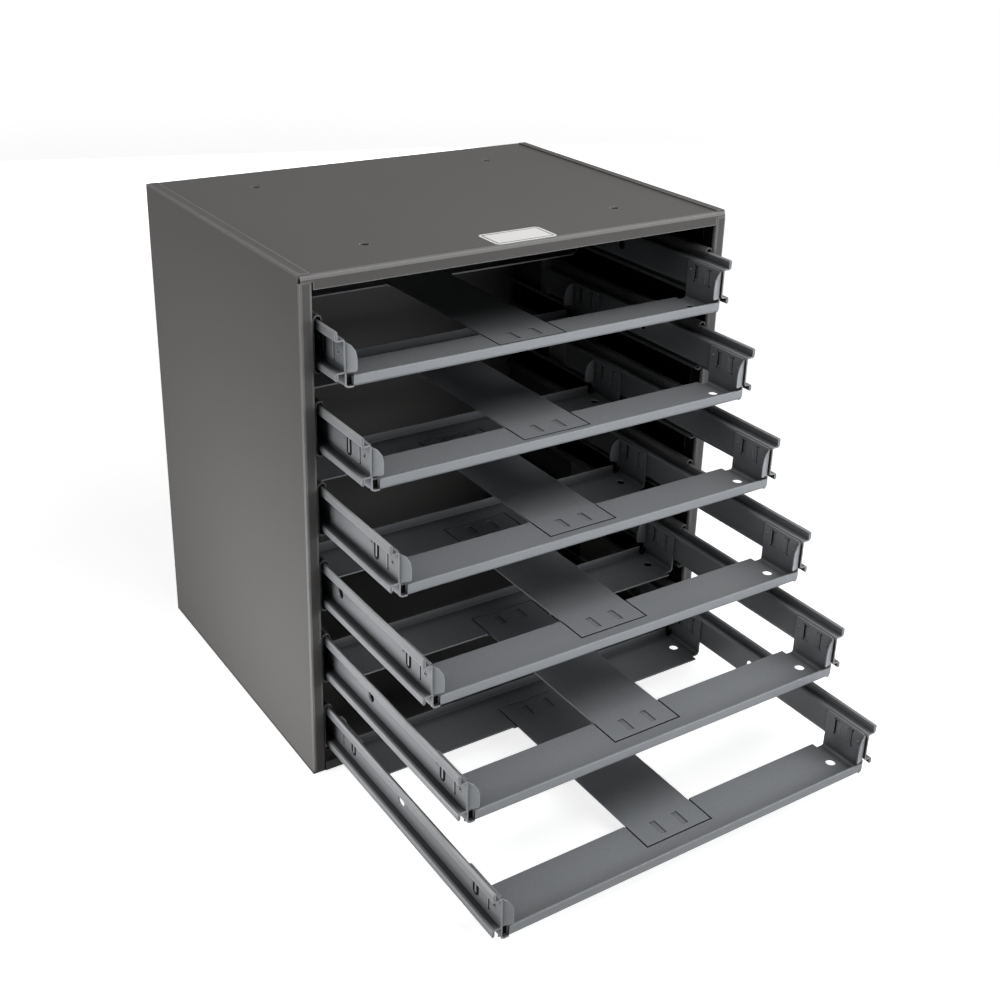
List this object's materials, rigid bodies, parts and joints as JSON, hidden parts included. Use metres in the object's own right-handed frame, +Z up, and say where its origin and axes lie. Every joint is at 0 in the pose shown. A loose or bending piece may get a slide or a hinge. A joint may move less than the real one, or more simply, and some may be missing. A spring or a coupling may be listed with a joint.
{
  "type": "slide rack for compartment boxes",
  "caption": "Open-front folded steel cabinet with ball-bearing slide-out carriages, each a shallow frame that carries one compartment box or tray.",
  "frame": {"origin": "centre of the underside of the cabinet", "axes": "+Z up, -Y towards the open front, +X to the right seen from the front"},
  "size_m": [0.387, 0.5378, 0.416],
  "materials": {
    "cabinet_paint": "satin grey paint",
    "channel_paint": "satin grey paint",
    "rail_paint": "satin grey paint",
    "carriage_paint": "satin grey paint",
    "cage_steel": "bright zinc",
    "ball_steel": "polished"
  },
  "bodies": {
    "cabinet": {"side_panel_right": "cabinet_paint", "side_panel_left": "cabinet_paint", "top_panel": "cabinet_paint", "bottom_panel": "cabinet_paint", "back_panel": "cabinet_paint", "slide_1_channel_right": "channel_paint", "slide_1_channel_left": "channel_paint", "slide_2_channel_right": "channel_paint", "slide_2_channel_left": "channel_paint", "slide_3_channel_right": "channel_paint", "slide_3_channel_left": "channel_paint", "slide_4_channel_right": "channel_paint", "slide_4_channel_left": "channel_paint", "slide_5_channel_right": "channel_paint", "slide_5_channel_left": "channel_paint", "slide_6_channel_right": "channel_paint", "slide_6_channel_left": "channel_paint"},
    "carriage_1": {"carriage_1_rail_right": "rail_paint", "carriage_1_rail_left": "rail_paint", "carriage_1_front_member": "carriage_paint", "carriage_1_rear_member": "carriage_paint", "carriage_1_centre_strip": "carriage_paint"},
    "rolling_1": {"slide_1_cages": "cage_steel", "slide_1_balls": "ball_steel"},
    "carriage_2": {"carriage_2_rail_right": "rail_paint", "carriage_2_rail_left": "rail_paint", "carriage_2_front_member": "carriage_paint", "carriage_2_rear_member": "carriage_paint", "carriage_2_centre_strip": "carriage_paint"},
    "rolling_2": {"slide_2_cages": "cage_steel", "slide_2_balls": "ball_steel"},
    "carriage_3": {"carriage_3_rail_right": "rail_paint", "carriage_3_rail_left": "rail_paint", "carriage_3_front_member": "carriage_paint", "carriage_3_rear_member": "carriage_paint", "carriage_3_centre_strip": "carriage_paint"},
    "rolling_3": {"slide_3_cages": "cage_steel", "slide_3_balls": "ball_steel"},
    "carriage_4": {"carriage_4_rail_right": "rail_paint", "carriage_4_rail_left": "rail_paint", "carriage_4_front_member": "carriage_paint", "carriage_4_rear_member": "carriage_paint", "carriage_4_centre_strip": "carriage_paint"},
    "rolling_4": {"slide_4_cages": "cage_steel", "slide_4_balls": "ball_steel"},
    "carriage_5": {"carriage_5_rail_right": "rail_paint", "carriage_5_rail_left": "rail_paint", "carriage_5_front_member": "carriage_paint", "carriage_5_rear_member": "carriage_paint", "carriage_5_centre_strip": "carriage_paint"},
    "rolling_5": {"slide_5_cages": "cage_steel", "slide_5_balls": "ball_steel"},
    "carriage_6": {"carriage_6_rail_right": "rail_paint", "carriage_6_rail_left": "rail_paint", "carriage_6_front_member": "carriage_paint", "carriage_6_rear_member": "carriage_paint", "carriage_6_centre_strip": "carriage_paint"},
    "rolling_6": {"slide_6_cages": "cage_steel", "slide_6_balls": "ball_steel"}
  },
  "joints": [
    {"name": "carriage_1_slide", "type": "slide", "parent": "cabinet", "child": "carriage_1", "axis": [0, -1, 0], "range_m": [-0.02722, 0.21578]},
    {"name": "rolling_1_slide", "type": "slide", "parent": "cabinet", "child": "rolling_1", "axis": [0, -1, 0], "range_m": [-0.01361, 0.10789]},
    {"name": "carriage_2_slide", "type": "slide", "parent": "cabinet", "child": "carriage_2", "axis": [0, -1, 0], "range_m": [-0.06415, 0.17885]},
    {"name": "rolling_2_slide", "type": "slide", "parent": "cabinet", "child": "rolling_2", "axis": [0, -1, 0], "range_m": [-0.03208, 0.08943]},
    {"name": "carriage_3_slide", "type": "slide", "parent": "cabinet", "child": "carriage_3", "axis": [0, -1, 0], "range_m": [-0.10328, 0.13972]},
    {"name": "rolling_3_slide", "type": "slide", "parent": "cabinet", "child": "rolling_3", "axis": [0, -1, 0], "range_m": [-0.05164, 0.06986]},
    {"name": "carriage_4_slide", "type": "slide", "parent": "cabinet", "child": "carriage_4", "axis": [0, -1, 0], "range_m": [-0.14847, 0.09453]},
    {"name": "rolling_4_slide", "type": "slide", "parent": "cabinet", "child": "rolling_4", "axis": [0, -1, 0], "range_m": [-0.07424, 0.04726]},
    {"name": "carriage_5_slide", "type": "slide", "parent": "cabinet", "child": "carriage_5", "axis": [0, -1, 0], "range_m": [-0.19562, 0.04738]},
    {"name": "rolling_5_slide", "type": "slide", "parent": "cabinet", "child": "rolling_5", "axis": [0, -1, 0], "range_m": [-0.09781, 0.02369]},
    {"name": "carriage_6_slide", "type": "slide", "parent": "cabinet", "child": "carriage_6", "axis": [0, -1, 0], "range_m": [-0.24081, 0.00219]},
    {"name": "rolling_6_slide", "type": "slide", "parent": "cabinet", "child": "rolling_6", "axis": [0, -1, 0], "range_m": [-0.12041, 0.0011]}
  ],
  "couplings": [
    {"joint": "rolling_1_slide", "follows": "carriage_1_slide", "ratio": 0.5},
    {"joint": "rolling_2_slide", "follows": "carriage_2_slide", "ratio": 0.5},
    {"joint": "rolling_3_slide", "follows": "carriage_3_slide", "ratio": 0.5},
    {"joint": "rolling_4_slide", "follows": "carriage_4_slide", "ratio": 0.5},
    {"joint": "rolling_5_slide", "follows": "carriage_5_slide", "ratio": 0.5},
    {"joint": "rolling_6_slide", "follows": "carriage_6_slide", "ratio": 0.5}
  ]
}
